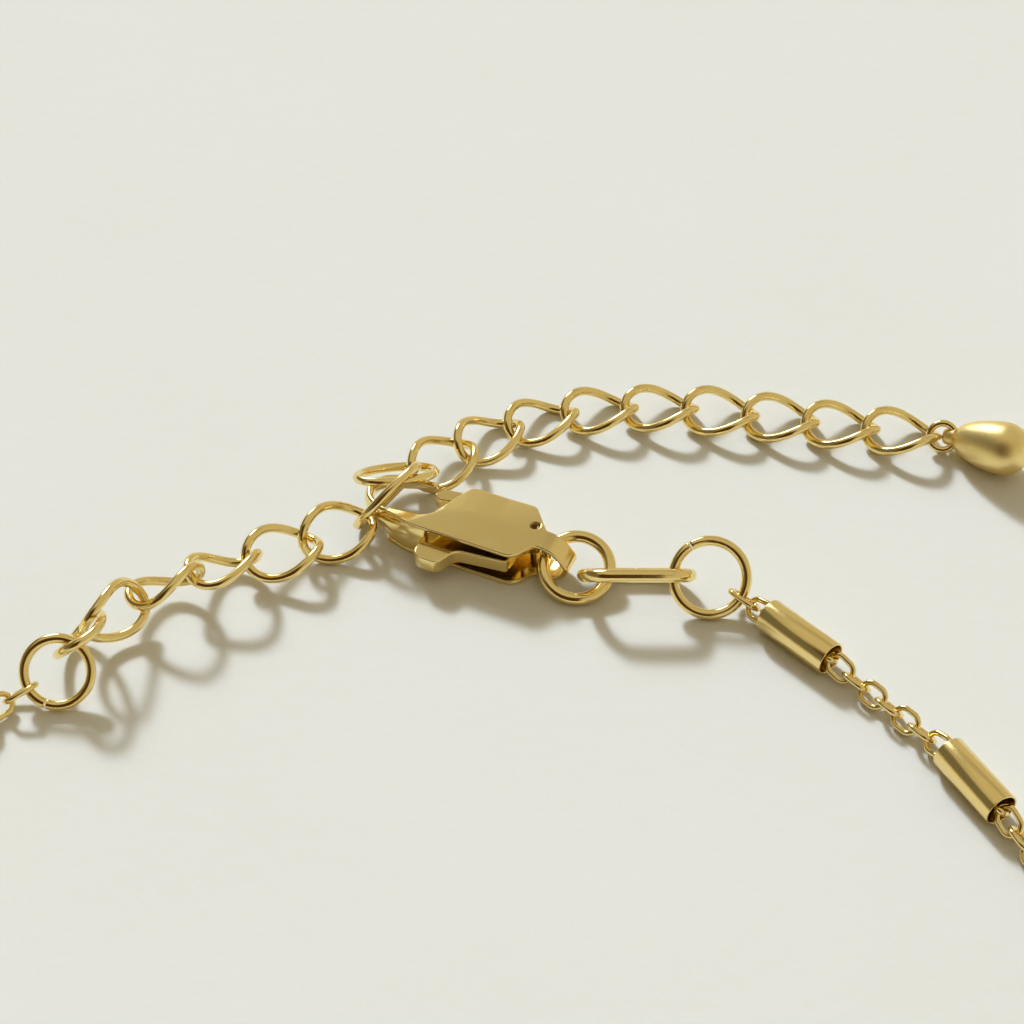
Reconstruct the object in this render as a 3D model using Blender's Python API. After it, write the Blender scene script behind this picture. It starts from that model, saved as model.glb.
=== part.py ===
"""Chain bracelet lying closed: lobster clasp, extender with a drop, fine chain with tube beads.

Sizes below are in millimetres and are turned to metres by MM when a mesh is made.
+Z is up, the bracelet lies on z = 0 and the origin is under the middle of its box.
"""
import math

import bmesh
import bpy
import numpy as np
from mathutils import Matrix, Vector

MM = 0.001

# The layout's own zero, seen from the origin
LAYOUT_SHIFT = (1.208, 23.375)

# Clasp: a folded sheet body, measured from the neck of its tail strip (x to the hook, y to the front)
CLASP_NECK = (1.28, -3.38, 0.0)
CLASP_HEADING = 155.5
CLASP_HEIGHT = 1.95
SHEET = 0.22
STRIP_REAR = -0.38
STRIP_FRONT = 0.70
FOLD_START = -0.25
FOLD_WAY = (
    # middle of the folded sheet, from the upper plate to the lower one: x, z
    (-0.62, 1.76),
    (-1.02, 1.52),
    (-1.30, 1.20),
    (-1.48, 0.93),
    (-1.36, 0.58),
    (-1.02, 0.27),
    (-0.65, 0.14),
)
HOOK_WIDTH = 0.42

# The clasp's lever and the rivet that it turns on
LEVER_BOTTOM = 0.66
LEVER_THICKNESS = 0.70
RIVET_PLACE = (0.50, -0.46)
RIVET_RADIUS = 0.20
RIVET_CLEARANCE = 0.03

# Oval jump ring between the two round ones, standing on its long side
OVAL_RING_LENGTH = 5.25
OVAL_RING_WIDTH = 3.00
OVAL_RING_WIRE = 0.60
OVAL_RING_CENTRE = (5.47, -5.07, 1.16)

# Extender: twisted oval links of round wire
LINK_LENGTH = 3.76
LINK_WIDTH = 2.90
LINK_WIRE = 0.42
LINK_TWIST = 76.0
OPEN_LINKS = (7, 8)
OPEN_LINK_LENGTH = 4.20

# Fine chain: small oval links, and one long link hidden in each tube bead
FINE_LENGTH = 1.50
FINE_WIDTH = 1.14
FINE_WIRE = 0.26
FINE_HOOK = 0.29
FINE_TILT = 45.0
FINE_REST = 0.50
BEAD_LINK_REST = 0.80
LINKS_BETWEEN_BEADS = 7
LINKS_BEFORE_BEADS = 1
SLACK_HOOK = 0.43
LINKS_AFTER_BEADS = 5
END_LINK_LENGTH = 1.70
LONG_LINK_LENGTH = 4.35
LONG_LINK_WIDTH = 0.83
BEAD_COUNT = 12
BEAD_LENGTH = 3.64
BEAD_SLIP = 0.02
BEAD_DIAMETER = 1.54
BEAD_BORE = 1.36
BEAD_SIDES = 10

# Way of the fine chain over the table: from the round ring, round the wrist's space, to the end ring
FINE_WAY = (
    (9.61, -5.64),
    (10.50, -6.45),
    (11.25, -7.22),
    (12.27, -8.27),
    (13.60, -9.63),
    (15.83, -12.08),
    (17.95, -14.61),
    (18.93, -16.24),
    (19.91, -17.87),
    (22.90, -25.00),
    (24.00, -34.50),
    (20.20, -44.50),
    (11.00, -51.50),
    (-1.50, -53.50),
    (-13.50, -50.00),
    (-22.20, -42.00),
    (-26.10, -32.00),
    (-26.00, -22.50),
    (-24.00, -15.90),
    (-22.30, -12.80),
    (-21.16, -11.66),
    (-20.16, -11.22),
)

# Solid teardrop at the extender's free end, and its small ring
DROP_RING_SIZE = 1.56
DROP_RING_WIRE = 0.32
DROP_RING_CENTRE = (19.90, 4.20, 0.73)
DROP_RING_TURN = (-9, 0, 50)
DROP_HEADING = -33.0
DROP_PITCH = 13.4
DROP_HOLE_RADIUS = 0.32
DROP_HOLE_PLACE = 0.50
DROP_RING_BULGE = 0.11
DROP_SIDES = 12
DROP_PROFILE = (
    # distance from the tip, radius
    (0.00, 0.24),
    (0.14, 0.38),
    (0.60, 0.44),
    (0.86, 0.68),
    (1.20, 0.86),
    (1.60, 1.00),
    (2.20, 1.14),
    (2.85, 1.22),
    (3.40, 1.17),
    (3.90, 0.90),
    (4.14, 0.56),
    (4.22, 0.22),
)

GOLD = (0.80, 0.58, 0.22, 1.0)


def clear_scene():
    for item in list(bpy.data.objects):
        bpy.data.objects.remove(item, do_unlink=True)


def gold(name, roughness):
    material = bpy.data.materials.new(name)
    material.use_nodes = True
    shader = material.node_tree.nodes["Principled BSDF"]
    shader.inputs["Base Color"].default_value = GOLD
    shader.inputs["Metallic"].default_value = 1.0
    shader.inputs["Roughness"].default_value = roughness
    material.diffuse_color = GOLD
    return material


def place(points, centre, heading, pitch=0.0, roll=0.0):
    """Turn points about x by roll, lift their +x end by pitch, head them round z, then move them."""
    turn = (Matrix.Rotation(math.radians(heading), 3, "Z")
            @ Matrix.Rotation(math.radians(-pitch), 3, "Y")
            @ Matrix.Rotation(math.radians(roll), 3, "X"))
    return [turn @ Vector(point) + Vector(centre) for point in points]


def to_metres(point):
    x, y, z = point
    return ((x + LAYOUT_SHIFT[0]) * MM, (y + LAYOUT_SHIFT[1]) * MM, z * MM)


def finish_mesh(name, mesh_maker, material):
    """Make a named object from a bmesh in layout millimetres, smooth but for its real edges."""
    for vertex in mesh_maker.verts:
        vertex.co = to_metres(vertex.co)
    bmesh.ops.recalc_face_normals(mesh_maker, faces=mesh_maker.faces)
    mesh = bpy.data.meshes.new(name)
    mesh_maker.to_mesh(mesh)
    mesh_maker.free()
    mesh.materials.append(material)
    mesh.shade_smooth()
    mesh.set_sharp_from_angle(angle=math.radians(40))
    item = bpy.data.objects.new(name, mesh)
    bpy.context.scene.collection.objects.link(item)
    return item


def wire_loop(name, points, wire, material, six_sided=True):
    """A closed loop of round wire: a cyclic curve with a round bevel."""
    curve = bpy.data.curves.new(name, "CURVE")
    curve.dimensions = "3D"
    curve.bevel_depth = wire / 2 * MM
    curve.bevel_resolution = 1 if six_sided else 2
    spline = curve.splines.new("POLY")
    spline.points.add(len(points) - 1)
    for knot, point in zip(spline.points, points):
        knot.co = (*to_metres(point), 1.0)
    spline.use_cyclic_u = True
    curve.materials.append(material)
    item = bpy.data.objects.new(name, curve)
    bpy.context.scene.collection.objects.link(item)
    return item


def oval(length, width, steps, twist=0.0):
    """Centre line of an oval link, outer ends at x = +-length / 2, its ends turned about x by twist."""
    points = []
    for step in range(steps):
        angle = 2 * math.pi * step / steps
        x = length / 2 * math.cos(angle)
        y = width / 2 * math.sin(angle)
        turn = math.radians(-twist / 2) * math.cos(angle)
        points.append((x, y * math.cos(turn), y * math.sin(turn)))
    return points


def stadium(length, width, bend_steps):
    """Centre line of an oval with straight long sides, ends at x = +-length / 2."""
    reach = (length - width) / 2
    points = []
    for side in (1, -1):
        for step in range(bend_steps + 1):
            angle = math.pi * (step / bend_steps - 0.5)
            x = reach + width / 2 * math.cos(angle)
            points.append((side * x, side * width / 2 * math.sin(angle), 0.0))
    return points


def rounded_outline(corners):
    """Closed outline from rows of x, y, radius and arc steps, each corner rounded by its radius."""
    outline = []
    count = len(corners)
    for index, (x, y, radius, steps) in enumerate(corners):
        here = Vector((x, y))
        to_last = (Vector(corners[index - 1][:2]) - here).normalized()
        to_next = (Vector(corners[(index + 1) % count][:2]) - here).normalized()
        half = to_last.angle(to_next) / 2
        if radius == 0.0 or half > math.radians(89):
            outline.append(here)
            continue
        reach = radius / math.tan(half)
        middle = here + (to_last + to_next).normalized() * (radius / math.sin(half))
        start = here + to_last * reach - middle
        sweep = start.angle_signed(here + to_next * reach - middle)
        for step in range(steps + 1):
            arm = start.copy()
            arm.rotate(Matrix.Rotation(-sweep * step / steps, 2))
            outline.append(middle + arm)
    return outline


def add_slab(maker, outline, bottom, top):
    """A flat plate with the given outline between two heights."""
    low = [maker.verts.new((x, y, bottom)) for x, y in outline]
    high = [maker.verts.new((x, y, top)) for x, y in outline]
    maker.faces.new(low)
    maker.faces.new(high)
    count = len(outline)
    for index in range(count):
        after = (index + 1) % count
        maker.faces.new((low[index], low[after], high[after], high[index]))


def add_loft(maker, sections):
    """Skin closed sections of equal point count, and cap both ends."""
    rings = [[maker.verts.new(point) for point in section] for section in sections]
    for ring, following in zip(rings, rings[1:]):
        count = len(ring)
        for index in range(count):
            after = (index + 1) % count
            maker.faces.new((ring[index], ring[after], following[after], following[index]))
    maker.faces.new(rings[0])
    maker.faces.new(rings[-1])


def boolean(target, other, operation):
    """Join or cut with an exact Boolean, kept as a modifier; the other body becomes a hidden guide."""
    modifier = target.modifiers.new(operation.title(), "BOOLEAN")
    modifier.operation = operation
    modifier.solver = "EXACT"
    modifier.object = other
    other.hide_render = True
    other.display_type = "WIRE"


def clasp_frame(maker):
    """Move a bmesh from clasp coordinates into the layout."""
    placed = place([vertex.co for vertex in maker.verts], CLASP_NECK, CLASP_HEADING)
    for vertex, point in zip(maker.verts, placed):
        vertex.co = point


def smooth_path(knots, per_span=40):
    """Points of a Catmull-Rom curve through the knots, with its first and last tangent kept."""
    knots = np.array(knots, float)
    padded = np.vstack([2 * knots[0] - knots[1], knots, 2 * knots[-1] - knots[-2]])
    blend = np.linspace(0.0, 1.0, per_span, endpoint=False)[:, None]
    spans = []
    for a, b, c, d in zip(padded, padded[1:], padded[2:], padded[3:]):
        spans.append(0.5 * (2 * b + (c - a) * blend + (2 * a - 5 * b + 4 * c - d) * blend ** 2
                            + (3 * b - a - 3 * c + d) * blend ** 3))
    return np.vstack(spans + [knots[-1:]])


def build_clasp_body(material):
    """Folded sheet: two like plates joined by the tail fold, with the hook's bar between them."""
    corners = (
        # x, y, corner radius, arc steps
        (FOLD_START, STRIP_FRONT, 0.0, 0),
        (0.00, STRIP_FRONT, 0.14, 3),
        (0.60, 1.74, 0.80, 5),
        (5.70, 1.74, 3.00, 3),
        (6.95, 1.36, 0.0, 0),
        (6.85, 1.10, 0.0, 0),
        (5.05, 0.98, 0.90, 4),
        (4.05, -1.60, 0.50, 4),
        (0.90, -1.60, 0.45, 4),
        (-0.10, STRIP_REAR, 0.20, 3),
        (FOLD_START, STRIP_REAR, 0.0, 0),
    )
    outline = rounded_outline(corners)
    maker = bmesh.new()
    add_folded_sheet(maker, outline)
    clasp_frame(maker)
    body = finish_mesh("clasp_body", maker, material)
    boolean(body, build_hook_bar(material), "UNION")
    boolean(body, build_rivet_hole(material), "DIFFERENCE")
    return body


def add_folded_sheet(maker, outline):
    """Two slabs of one outline, their strip ends joined by a fold that slopes down to its nose."""
    count = len(outline)
    levels = (0.0, SHEET, CLASP_HEIGHT - SHEET, CLASP_HEIGHT)
    rings = [[maker.verts.new((x, y, z)) for x, y in outline] for z in levels]
    for low, high in (rings[0:2], rings[2:4]):
        maker.faces.new(low)
        maker.faces.new(high)
        for index in range(count - 1):
            maker.faces.new((low[index], low[index + 1], high[index + 1], high[index]))
    way = [Vector((FOLD_START, CLASP_HEIGHT - SHEET / 2))]
    way += [Vector(place) for place in FOLD_WAY]
    way.append(Vector((FOLD_START, SHEET / 2)))
    sections = [(rings[3][0], rings[3][-1], rings[2][-1], rings[2][0])]
    for before, here, after in zip(way, way[1:], way[2:]):
        ahead = (after - before).normalized()
        outward = Vector((ahead.y, -ahead.x)) * SHEET / 2
        corners = ((here + outward, STRIP_FRONT), (here + outward, STRIP_REAR),
                   (here - outward, STRIP_REAR), (here - outward, STRIP_FRONT))
        sections.append([maker.verts.new((at.x, y, at.y)) for at, y in corners])
    sections.append((rings[0][0], rings[0][-1], rings[1][-1], rings[1][0]))
    for last, following in zip(sections, sections[1:]):
        for index in range(4):
            after = (index + 1) % 4
            maker.faces.new((last[index], last[after], following[after], following[index]))


def build_hook_bar(material):
    """The spine wall that runs on as the hook: an upright bar that bends round to its nose."""
    knots = (
        # x, y, height
        (5.00, 1.45, 1.90),
        (5.90, 1.42, 1.80),
        (6.85, 1.20, 1.40),
        (7.75, 0.80, 1.00),
        (8.35, 0.30, 0.80),
        (8.55, -0.40, 0.74),
        (8.20, -1.05, 0.72),
        (7.50, -1.40, 0.72),
        (6.70, -1.60, 0.72),
        (5.85, -1.70, 0.72),
    )
    path = smooth_path(knots, per_span=2)
    steps = np.gradient(path[:, :2], axis=0)
    sections = []
    for (x, y, height), (along_x, along_y) in zip(path, steps):
        side = Vector((-along_y, along_x)).normalized()
        half = HOOK_WIDTH / 2
        rise = height / 2
        cut = 0.13
        section = []
        for across, up in ((half, rise - cut), (half - cut, rise), (cut - half, rise), (-half, rise - cut),
                           (-half, cut - rise), (cut - half, -rise), (half - cut, -rise), (half, cut - rise)):
            section.append((x + side.x * across, y + side.y * across, CLASP_HEIGHT / 2 + up))
        sections.append(section)
    maker = bmesh.new()
    add_loft(maker, sections)
    clasp_frame(maker)
    return finish_mesh("hook_bar_guide", maker, material)


def round_outline(centre, radius, sides):
    x, y = centre
    angles = [2 * math.pi * side / sides for side in range(sides)]
    return [(x + radius * math.cos(angle), y + radius * math.sin(angle)) for angle in angles]


def build_rivet_hole(material):
    maker = bmesh.new()
    add_slab(maker, round_outline(RIVET_PLACE, RIVET_RADIUS + RIVET_CLEARANCE, 16), -1.0, CLASP_HEIGHT + 1.0)
    clasp_frame(maker)
    return finish_mesh("rivet_hole_guide", maker, material)


def build_rivet(material):
    maker = bmesh.new()
    add_slab(maker, round_outline(RIVET_PLACE, RIVET_RADIUS, 16), 0.0, CLASP_HEIGHT)
    clasp_frame(maker)
    return finish_mesh("clasp_rivet", maker, material)


def build_lever(material):
    """The lever: gate arm along the rear, thumb knob at the front, turning on the rivet."""
    corners = (
        # x, y, corner radius, arc steps
        (0.06, -0.04, 0.40, 3),
        (0.06, -0.72, 0.36, 3),
        (0.80, -1.48, 0.60, 2),
        (4.40, -1.52, 0.60, 1),
        (5.30, -1.42, 0.15, 2),
        (5.68, -0.98, 0.10, 2),
        (5.35, -0.70, 0.10, 1),
        (4.65, -0.85, 0.30, 2),
        (4.24, -0.62, 0.30, 3),
        (4.72, 0.95, 0.30, 2),
        (5.00, 1.88, 0.15, 2),
        (5.00, 2.95, 0.55, 4),
        (3.72, 2.95, 0.45, 4),
        (3.25, 1.92, 0.50, 3),
        (0.95, 1.62, 0.15, 2),
        (0.75, 0.25, 0.50, 2),
    )
    maker = bmesh.new()
    add_slab(maker, rounded_outline(corners), LEVER_BOTTOM, LEVER_BOTTOM + LEVER_THICKNESS)
    clasp_frame(maker)
    lever = finish_mesh("clasp_lever", maker, material)
    pivot = Vector(to_metres(place([(*RIVET_PLACE, CLASP_HEIGHT / 2)], CLASP_NECK, CLASP_HEADING)[0]))
    lever.data.transform(Matrix.Translation(-pivot))
    lever.location = pivot
    boolean(lever, bpy.data.objects["rivet_hole_guide"], "DIFFERENCE")


def build_jump_rings(material):
    rings = (
        # name, length, width, wire, centre, heading, pitch, roll
        ("clasp_ring", 3.50, 3.50, 0.55, (2.85, -4.34, 0.88), 0, 0, 23),
        ("round_ring", 3.68, 3.68, 0.46, (8.64, -5.45, 1.40), 0, 0, 45),
        ("end_ring", 3.30, 3.30, 0.44, (-19.25, -10.85, 1.28), 0, 0, 45),
    )
    for name, length, width, wire, centre, heading, pitch, roll in rings:
        points = place(oval(length - wire, width - wire, 14), centre, heading, pitch, roll)
        wire_loop(name, points, wire, material)
    line = stadium(OVAL_RING_LENGTH - OVAL_RING_WIRE, OVAL_RING_WIDTH - OVAL_RING_WIRE, 6)
    wire_loop("oval_ring", place(line, OVAL_RING_CENTRE, 0, 0, -45), OVAL_RING_WIRE, material)


def build_extender(material):
    """Seventeen links in a row from the end ring to the drop; the hook holds the eighth."""
    rows = (
        # x, y, z, heading, pitch, roll, twist
        (-18.45, -9.05, 1.59, 96.4, -35.7, -36.4, 20),
        (-17.09, -7.74, 1.68, 46.2, -15.3, 77.6, 60),
        (-15.07, -5.96, 1.50, 26.0, 6.2, -38.0, LINK_TWIST),
        (-12.64, -4.66, 1.34, 31.7, -10.3, -24.0, LINK_TWIST),
        (-10.15, -3.54, 1.09, 18, -0.7, 13.9, LINK_TWIST),
        (-7.78, -2.23, 1.02, 24.4, -0.7, 30, LINK_TWIST),
        (-5.58, -0.56, 1.60, 31.5, 34.2, -54.9, 0),
        (-5.23, 0.84, 1.57, 28.6, -15.7, -25.8, 0),
        (-3.21, 2.48, 0.85, 38.3, -2, 17.8, LINK_TWIST),
        (-1.10, 4.23, 0.70, 37.9, -4.9, 4.9, LINK_TWIST),
        (1.37, 5.44, 0.64, 21.7, -1.9, -1.3, LINK_TWIST),
        (4.09, 6.06, 0.67, 6, -0.2, -2.2, LINK_TWIST),
        (6.90, 6.12, 0.72, -1.9, 0.9, -2.3, LINK_TWIST),
        (9.72, 5.88, 0.71, -6, -2.1, 3.3, LINK_TWIST),
        (12.50, 5.46, 0.68, -9.3, 0.2, 1.9, LINK_TWIST),
        (15.26, 4.99, 0.68, -8.5, 0.1, -1.2, LINK_TWIST),
        (18.01, 4.50, 0.71, -10.2, 0.5, -1.3, LINK_TWIST),
    )
    for number, (x, y, z, heading, pitch, roll, twist) in enumerate(rows, start=1):
        length = OPEN_LINK_LENGTH if number in OPEN_LINKS else LINK_LENGTH
        line = oval(length - LINK_WIRE, LINK_WIDTH - LINK_WIRE, 12, twist)
        settled = place(line, (x, y, z), heading, pitch, roll)
        wire_loop(f"extender_link_{number:02d}", settled, LINK_WIRE, material)


def build_drop(material):
    """Solid teardrop on its side, drilled near its tip for the small ring of the last link."""
    reach = (DROP_RING_SIZE - DROP_RING_WIRE) / 2
    line = oval(2 * reach, 2 * reach, 12)
    wire_loop("drop_ring", place(line, DROP_RING_CENTRE, *DROP_RING_TURN), DROP_RING_WIRE, material)
    held = Vector(place([(reach, 0, 0)], DROP_RING_CENTRE, *DROP_RING_TURN)[0])
    start = place([(-DROP_HOLE_PLACE - DROP_RING_BULGE, 0, 0)], held, DROP_HEADING, DROP_PITCH)[0]

    def settle(points):
        return place(points, start, DROP_HEADING, DROP_PITCH, DROP_RING_TURN[2])

    maker = bmesh.new()
    angles = [2 * math.pi * side / DROP_SIDES for side in range(DROP_SIDES)]
    add_loft(maker, [settle([(x, radius * math.cos(angle), radius * math.sin(angle)) for angle in angles])
                     for x, radius in DROP_PROFILE])
    drop = finish_mesh("drop", maker, material)
    maker = bmesh.new()
    add_loft(maker, [settle([(DROP_HOLE_PLACE + DROP_HOLE_RADIUS * math.cos(angle), y,
                              DROP_HOLE_RADIUS * math.sin(angle)) for angle in angles]) for y in (-1.0, 1.0)])
    boolean(drop, finish_mesh("drop_hole_guide", maker, material), "DIFFERENCE")


def fine_links():
    """Rows of centre-line length, width, whether a bead sits on the link, and its hold on the next."""
    small = (FINE_LENGTH - FINE_WIRE, FINE_WIDTH - FINE_WIRE, False, FINE_HOOK)
    slack = (FINE_LENGTH - FINE_WIRE, FINE_WIDTH - FINE_WIRE, False, SLACK_HOOK)
    end = (END_LINK_LENGTH - FINE_WIRE, FINE_WIDTH - FINE_WIRE, False, SLACK_HOOK)
    beaded = (LONG_LINK_LENGTH - FINE_WIRE, LONG_LINK_WIDTH - FINE_WIRE, True, FINE_HOOK)
    rows = [end] + [slack] * LINKS_BEFORE_BEADS
    for bead in range(BEAD_COUNT):
        rows.append(beaded)
        rows += [small] * (LINKS_BETWEEN_BEADS if bead < BEAD_COUNT - 1 else LINKS_AFTER_BEADS)
    return rows + [end]


def fine_starts(rows, total):
    """Distance along the way at which each link begins; spare way is shared by the hidden joints."""
    spare = total - sum(row[0] for row in rows) + sum(row[3] for row in rows[:-1])
    shown = LINKS_BEFORE_BEADS + 2 * LINKS_BETWEEN_BEADS
    starts = []
    distance = 0.0
    for number, row in enumerate(rows):
        starts.append(distance)
        distance += row[0] - row[3]
        if number > shown:
            distance += spare / (len(rows) - shown - 2)
    return starts


def fine_height(distance, total, bead_middles):
    """Height of the chain's middle: on the table, lifted in the beads and at both jump rings."""
    to_bead = np.min(np.abs(np.asarray(bead_middles) - distance)) - BEAD_LENGTH / 2
    in_bead = 1.0 - min(max(to_bead / 1.2, 0.0), 1.0)
    height = FINE_REST + (BEAD_LINK_REST - FINE_REST) * in_bead * in_bead * (3 - 2 * in_bead)
    first = max(0.0, 1.0 - distance / 1.2)
    last = max(0.0, 1.0 - (total - distance) / 1.2)
    return height + 0.26 * first + 0.42 * last


def fine_link_rings(start, end, width, roll):
    """Ten wire sections of one fine link: four round each end, one at the middle of each side."""
    along = (end - start).normalized()
    level = Vector((-along.y, along.x, 0.0)).normalized()
    across = level * math.cos(roll) + along.cross(level) * math.sin(roll)
    normal = along.cross(across)
    middle = (start + end) / 2
    bend = width / 2
    straight = (end - start).length / 2 - bend
    corner = bend / math.cos(math.pi / 8)
    stations = []
    for side in (1, -1):
        for turn in (-3, -1, 1, 3):
            angle = turn * math.pi / 8
            stations.append((side * (straight + corner * math.cos(angle)), side * corner * math.sin(angle),
                             side * math.cos(angle), side * math.sin(angle), 1 / math.cos(math.pi / 8)))
        stations.append((0.0, side * bend, 0.0, side, 1.0))
    rings = []
    for x, y, out_x, out_y, stretch in stations:
        centre = middle + along * x + across * y
        inward = (along * out_x + across * out_y) * -stretch
        angles = [math.radians(36 + 72 * corner_number) for corner_number in range(5)]
        rings.append([centre + (inward * math.cos(angle) + normal * math.sin(angle)) * FINE_WIRE / 2
                      for angle in angles])
    return rings


def build_fine_chain(material):
    """Fine chain fused to one body: neighbouring links meet where their wires touch."""
    rows = fine_links()
    way = smooth_path(FINE_WAY, per_span=60)
    lengths = np.concatenate([[0.0], np.cumsum(np.linalg.norm(np.diff(way, axis=0), axis=1))])
    starts = fine_starts(rows, lengths[-1])
    bead_middles = [start + row[0] / 2 for start, row in zip(starts, rows) if row[2]]

    def way_point(distance):
        x, y = (np.interp(distance, lengths, way[:, column]) for column in (0, 1))
        return Vector((x, y, fine_height(distance, lengths[-1], bead_middles)))

    maker = bmesh.new()
    meeting = None
    beads = []
    for number, (start, (length, width, beaded, hold)) in enumerate(zip(starts, rows)):
        near, far = way_point(start), way_point(start + length)
        roll = math.radians(FINE_TILT if number % 2 else -FINE_TILT)
        circles = fine_link_rings(near, far, width, roll)
        rings = [[maker.verts.new(point) for point in circle] for circle in circles]
        count = len(rings)
        far_tip = near_tip = None
        for index, ring in enumerate(rings):
            following = rings[(index + 1) % count]
            for side in range(5):
                after = (side + 1) % 5
                corners = (ring[side], ring[after], following[after], following[side])
                if side == 4 and index == 1 and number < len(rows) - 1:
                    far_tip = corners
                elif side == 4 and index == 6 and number > 0:
                    near_tip = corners
                else:
                    maker.faces.new(corners)
        if meeting:
            join_tips(maker, meeting, near_tip)
        meeting = far_tip
        if beaded:
            beads.append((near, far))
    finish_mesh("fine_chain", maker, material)
    return beads


def join_tips(maker, tip, other):
    """Close the space between two open tip quads by four faces between their nearest corners."""
    partners = [min(other, key=lambda corner: (corner.co - vertex.co).length) for vertex in tip]
    for index in range(4):
        after = (index + 1) % 4
        maker.faces.new((tip[index], tip[after], partners[after], partners[index]))


def build_bead(number, near, far, material):
    """Plain tube bead round one long link, resting on the table."""
    along = far - near
    heading = math.degrees(math.atan2(along.y, along.x))
    centre = (near + far) / 2 + along.normalized() * BEAD_SLIP
    centre.z = BEAD_DIAMETER / 2
    angles = [2 * math.pi * (side + 0.5) / BEAD_SIDES for side in range(BEAD_SIDES)]
    spread = 1 / math.cos(math.pi / BEAD_SIDES)
    half = BEAD_LENGTH / 2
    maker = bmesh.new()
    rings = []
    for x, radius in ((-half, BEAD_DIAMETER / 2), (half, BEAD_DIAMETER / 2), (half, BEAD_BORE / 2),
                      (-half, BEAD_BORE / 2)):
        reach = radius * spread
        circle = [(x, reach * math.sin(angle), -reach * math.cos(angle)) for angle in angles]
        rings.append([maker.verts.new(point) for point in place(circle, centre, heading)])
    for index, ring in enumerate(rings):
        following = rings[(index + 1) % 4]
        for side in range(BEAD_SIDES):
            after = (side + 1) % BEAD_SIDES
            maker.faces.new((ring[side], ring[after], following[after], following[side]))
    finish_mesh(f"tube_bead_{number:02d}", maker, material)


clear_scene()
plain_gold = gold("polished gold plate", 0.22)
lever_gold = gold("satin gold plate", 0.32)
bead_gold = gold("brushed gold plate", 0.30)
build_clasp_body(plain_gold)
build_rivet(plain_gold)
build_lever(lever_gold)
build_jump_rings(plain_gold)
build_extender(plain_gold)
build_drop(plain_gold)
for bead_number, (bead_near, bead_far) in enumerate(build_fine_chain(plain_gold), start=1):
    build_bead(bead_number, bead_near, bead_far, bead_gold)
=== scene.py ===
"""Looks of the chain bracelet: polished gold plate on a pale paper table, seen from 45 degrees above."""
import math

import bpy
import numpy as np
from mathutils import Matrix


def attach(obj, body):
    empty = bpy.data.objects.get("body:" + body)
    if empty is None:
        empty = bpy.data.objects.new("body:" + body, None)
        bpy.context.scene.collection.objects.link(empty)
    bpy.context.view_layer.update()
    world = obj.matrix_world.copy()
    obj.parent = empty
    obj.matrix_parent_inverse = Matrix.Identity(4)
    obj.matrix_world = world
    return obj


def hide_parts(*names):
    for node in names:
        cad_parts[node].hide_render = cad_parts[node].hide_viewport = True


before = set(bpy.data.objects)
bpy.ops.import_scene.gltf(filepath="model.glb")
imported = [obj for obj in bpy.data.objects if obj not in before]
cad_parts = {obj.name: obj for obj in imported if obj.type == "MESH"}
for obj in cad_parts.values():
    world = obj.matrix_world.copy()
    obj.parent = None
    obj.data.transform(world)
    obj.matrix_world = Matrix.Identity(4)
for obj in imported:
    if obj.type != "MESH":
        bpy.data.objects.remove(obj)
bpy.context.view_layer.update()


# Camera: a 100 mm lens 129 mm from the work, tipped 45 degrees down, as close-up jewellery is photographed.
# The bracelet's own layout is in millimetres; its zero lies LAYOUT_SHIFT away from the frame's origin.
MM = 0.001
LAYOUT_SHIFT = (1.208, 23.375, 0.0)
CAMERA_DISTANCE = 129.0
CAMERA_TIP = math.radians(45)


def to_frame(points):
    """Layout millimetres to frame metres: add the layout's shift, then divide by a thousand."""
    return (np.asarray(points, float) + LAYOUT_SHIFT) * MM


camera_data = bpy.data.cameras.new("close-up lens")
camera_data.lens = 100
camera_data.sensor_width = 36
camera_data.clip_start = 0.005
camera = bpy.data.objects.new("camera", camera_data)
camera_back = CAMERA_DISTANCE * math.cos(CAMERA_TIP)
camera.location = to_frame((0.0, -camera_back, CAMERA_DISTANCE * math.sin(CAMERA_TIP)))
camera.rotation_euler = (math.pi / 2 - CAMERA_TIP, 0, 0)
bpy.context.scene.collection.objects.link(camera)
bpy.context.scene.camera = camera
bpy.context.scene.view_settings.view_transform = "Standard"


# Table: heavy off-white cotton paper, matte, with faint fibres and a barely uneven surface.
# The light is a window behind the work, low and a little soft, in a pale room.
PAPER_SIZE = 4.0
PAPER_HEX = "E4E2D9"
PAPER_SHADE_HEX = "E1DFD5"
FIBRE_LENGTH = 0.0009
FIBRE_HEIGHT = 0.00006
PAPER_WAVE = 0.012
WINDOW_HEIGHT = math.radians(33)
WINDOW_TURN = math.radians(22)
WINDOW_SOFTNESS = math.radians(7)
PANE_WIDTH = math.radians(8.5)
PANE_INNER = 0.7
PANE_OUTER = 1.6
PANE_BRIGHTNESS = 11.0
WINDOW_COLOUR = (0.885, 1.0, 1.165)
WINDOW_STRENGTH = 2.64
ROOM_COLOUR = (0.61, 0.54, 0.385)
SHADE_COLOUR = (0.070, 0.034, 0.008)
ZENITH_LEVEL = 0.95
LEFT_WALL = (
    # axis of the direction seen, low, high, soft edge outside them
    ("X", -1.10, -0.66, 0.14),
    ("Z", 0.15, 0.70, 0.08),
)
LEFT_WALL_DEPTH = 0.72
UPPER_BACK_WALL = (
    ("X", -0.40, 0.40, 0.30),
    ("Z", 0.66, 0.80, 0.10),
)
UPPER_BACK_WALL_DEPTH = 0.26
FRONT_OF_ROOM = (
    ("X", -0.60, 0.05, 0.14),
    ("Y", -1.10, -0.35, 0.25),
    ("Z", 0.08, 0.85, 0.10),
)


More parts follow.
